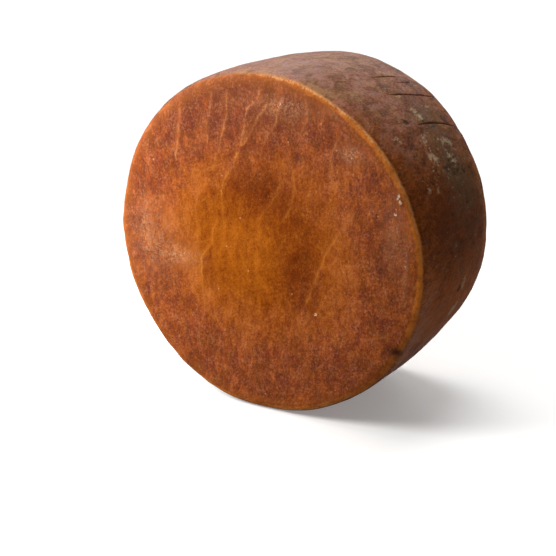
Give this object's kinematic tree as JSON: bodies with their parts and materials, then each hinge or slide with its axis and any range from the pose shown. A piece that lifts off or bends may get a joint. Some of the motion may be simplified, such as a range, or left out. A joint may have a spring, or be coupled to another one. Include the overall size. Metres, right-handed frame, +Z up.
{
  "type": "smoked sheep cheese wheel",
  "caption": "Whole squat wheel of smoked sheep cheese with an orange-brown leathery rind, rounded edges and drying cracks, standing on its rim.",
  "frame": {"origin": "on the table under the middle of the wheel, at the bottom centre of its box", "axes": "+Z up, the wheel's axis along Y with its front face looking towards -Y, +X to the right of the front face"},
  "size_m": [0.2004, 0.1, 0.1993],
  "materials": {
    "smoked_rind": "dry matt to satin smoked rind, orange-brown with a worn amber edge, pale veins and light mould flecks"
  },
  "bodies": {
    "root": {"cheese_wheel": "smoked_rind"}
  },
  "joints": []
}
